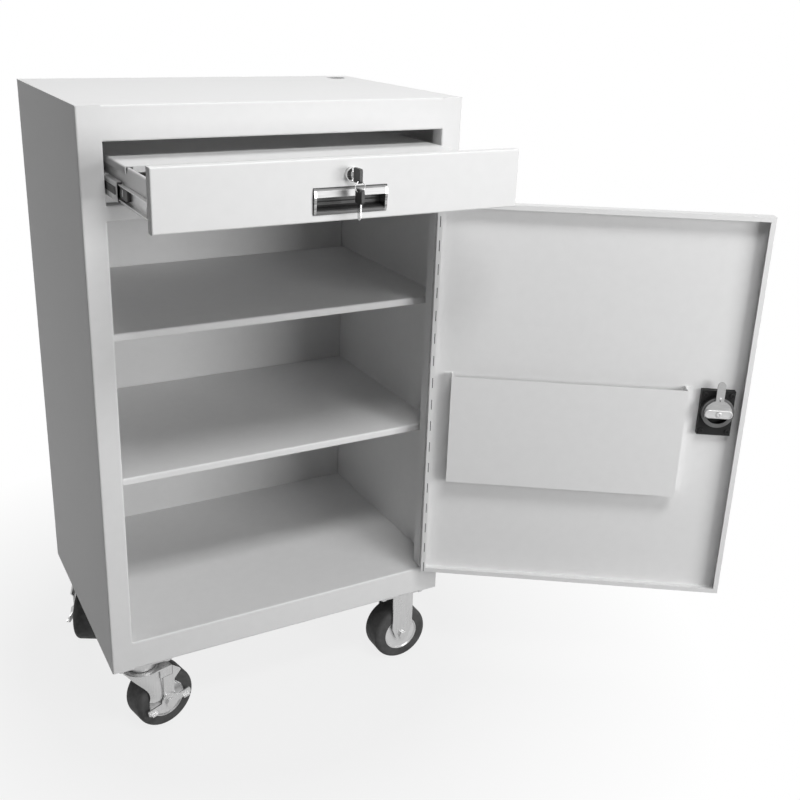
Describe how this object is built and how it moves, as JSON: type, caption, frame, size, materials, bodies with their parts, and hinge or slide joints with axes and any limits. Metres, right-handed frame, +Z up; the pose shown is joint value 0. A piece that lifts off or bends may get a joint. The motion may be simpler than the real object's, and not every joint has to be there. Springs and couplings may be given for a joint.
{
  "type": "mobile work cabinet",
  "caption": "Sheet-steel work cabinet on casters, with a flat worktop, a lockable drawer under a sliding lid, and a latched door with a document pocket in front of shelves.",
  "frame": {"origin": "on the floor, under the middle of the cabinet's shell", "axes": "+Z up, -Y out of the front with drawer and door, +X towards the hinge side"},
  "size_m": [1.0297, 0.739, 1.04],
  "materials": {
    "powder_coat": "semi-gloss light grey powder coat",
    "zinc": "bright zinc plate",
    "chrome": "polished",
    "black_plastic": "moulded, fine grain",
    "tyre": "matt rubber"
  },
  "bodies": {
    "cabinet": {"left_side_panel": "powder_coat", "right_side_panel": "powder_coat", "top_panel": "powder_coat", "back_panel": "powder_coat", "bottom_panel": "powder_coat", "divider_rail": "powder_coat", "lower_shelf": "powder_coat", "upper_shelf": "powder_coat", "caster_channel_left": "powder_coat", "caster_channel_right": "powder_coat", "slide_bracket_left": "powder_coat", "slide_bracket_right": "powder_coat", "slide_rail_left": "zinc", "slide_rail_right": "zinc", "hinge_frame_leaf": "powder_coat", "hinge_pin": "zinc", "rigid_fork_front": "zinc", "rigid_fork_rear": "zinc", "rigid_axles": "zinc", "swivel_plate_front": "zinc", "swivel_plate_rear": "zinc"},
    "drawer": {"drawer_front": "powder_coat", "drawer_tray": "powder_coat", "slide_runner_left": "zinc", "slide_runner_right": "zinc", "pull_channel": "chrome", "pull_caps": "chrome", "lock_body": "chrome"},
    "slide_left": {"slide_middle_left": "zinc"},
    "slide_right": {"slide_middle_right": "zinc"},
    "lid": {"drawer_lid": "powder_coat"},
    "lock": {"lock_plug": "chrome", "lock_cam": "zinc", "lock_key": "black_plastic"},
    "ring": {"key_ring": "chrome"},
    "spare": {"spare_key": "black_plastic"},
    "door": {"door_panel": "powder_coat", "document_pocket": "powder_coat", "hinge_door_leaf": "powder_coat", "latch_housing": "black_plastic"},
    "latch": {"latch_grip": "black_plastic", "latch_spindle": "zinc", "latch_cam": "zinc", "latch_bar": "zinc"},
    "front_swivel": {"swivel_yoke_front": "zinc", "swivel_axle_front": "zinc", "brake_plate_front": "zinc"},
    "rear_swivel": {"swivel_yoke_rear": "zinc", "swivel_axle_rear": "zinc", "brake_plate_rear": "zinc"},
    "front_brake": {"brake_lever_front": "zinc"},
    "rear_brake": {"brake_lever_rear": "zinc"},
    "front_left_wheel": {"wheel_front_left_hub": "zinc", "wheel_front_left_tyre": "tyre"},
    "rear_left_wheel": {"wheel_rear_left_hub": "zinc", "wheel_rear_left_tyre": "tyre"},
    "front_right_wheel": {"wheel_front_right_hub": "zinc", "wheel_front_right_tyre": "tyre"},
    "rear_right_wheel": {"wheel_rear_right_hub": "zinc", "wheel_rear_right_tyre": "tyre"}
  },
  "joints": [
    {"name": "drawer_slide", "type": "slide", "parent": "cabinet", "child": "drawer", "axis": [0, -1, 0], "range_m": [-0.214, 0.126]},
    {"name": "left_slide_travel", "type": "slide", "parent": "cabinet", "child": "slide_left", "axis": [0, -1, 0], "range_m": [-0.06634, 0.03906]},
    {"name": "right_slide_travel", "type": "slide", "parent": "cabinet", "child": "slide_right", "axis": [0, -1, 0], "range_m": [-0.06634, 0.03906]},
    {"name": "lid_slide", "type": "slide", "parent": "drawer", "child": "lid", "axis": [0, -1, 0], "range_m": [0, 0.105]},
    {"name": "lock_turn", "type": "hinge", "parent": "drawer", "child": "lock", "pos_m": [0, -0.4265, 0.968], "axis": [0, 1, 0], "range_deg": [0, 90]},
    {"name": "ring_swing", "type": "hinge", "parent": "lock", "child": "ring", "pos_m": [0, -0.454, 0.9626], "axis": [1, 0, 0], "range_deg": [-80, 10]},
    {"name": "spare_key_swing", "type": "hinge", "parent": "ring", "child": "spare", "pos_m": [0, -0.454, 0.9486], "axis": [1, 0, 0], "range_deg": [-45, 15]},
    {"name": "door_swing", "type": "hinge", "parent": "cabinet", "child": "door", "pos_m": [0.26675, -0.2125, 0.5355], "axis": [0, 0, 1], "range_deg": [-146.5, 18.5]},
    {"name": "latch_turn", "type": "hinge", "parent": "door", "child": "latch", "pos_m": [0.6751, -0.48278, 0.5435], "axis": [0.5519, 0.8339, 0], "range_deg": [0, 90]},
    {"name": "front_swivel_turn", "type": "hinge", "parent": "cabinet", "child": "front_swivel", "pos_m": [-0.2505, -0.1805, 0.1195], "axis": [0, 0, 1], "continuous": true},
    {"name": "rear_swivel_turn", "type": "hinge", "parent": "cabinet", "child": "rear_swivel", "pos_m": [-0.2505, 0.1465, 0.1195], "axis": [0, 0, 1], "continuous": true},
    {"name": "front_left_roll", "type": "hinge", "parent": "front_swivel", "child": "front_left_wheel", "pos_m": [-0.22037, -0.17321, 0.0525], "axis": [-0.2351, 0.972, 0], "continuous": true},
    {"name": "rear_left_roll", "type": "hinge", "parent": "rear_swivel", "child": "rear_left_wheel", "pos_m": [-0.26505, 0.11913, 0.0525], "axis": [0.8829, -0.4695, 0], "continuous": true},
    {"name": "front_right_roll", "type": "hinge", "parent": "cabinet", "child": "front_right_wheel", "pos_m": [0.237, -0.1805, 0.0525], "axis": [0, 1, 0], "continuous": true},
    {"name": "rear_right_roll", "type": "hinge", "parent": "cabinet", "child": "rear_right_wheel", "pos_m": [0.237, 0.1465, 0.0525], "axis": [0, 1, 0], "continuous": true},
    {"name": "front_brake_press", "type": "hinge", "parent": "front_swivel", "child": "front_brake", "pos_m": [-0.22037, -0.17321, 0.0525], "axis": [-0.2351, 0.972, 0], "range_deg": [0, 14]},
    {"name": "rear_brake_press", "type": "hinge", "parent": "rear_swivel", "child": "rear_brake", "pos_m": [-0.26505, 0.11913, 0.0525], "axis": [0.8829, -0.4695, 0], "range_deg": [0, 14]}
  ],
  "couplings": [
    {"joint": "left_slide_travel", "follows": "drawer_slide", "ratio": 0.31},
    {"joint": "right_slide_travel", "follows": "drawer_slide", "ratio": 0.31}
  ]
}
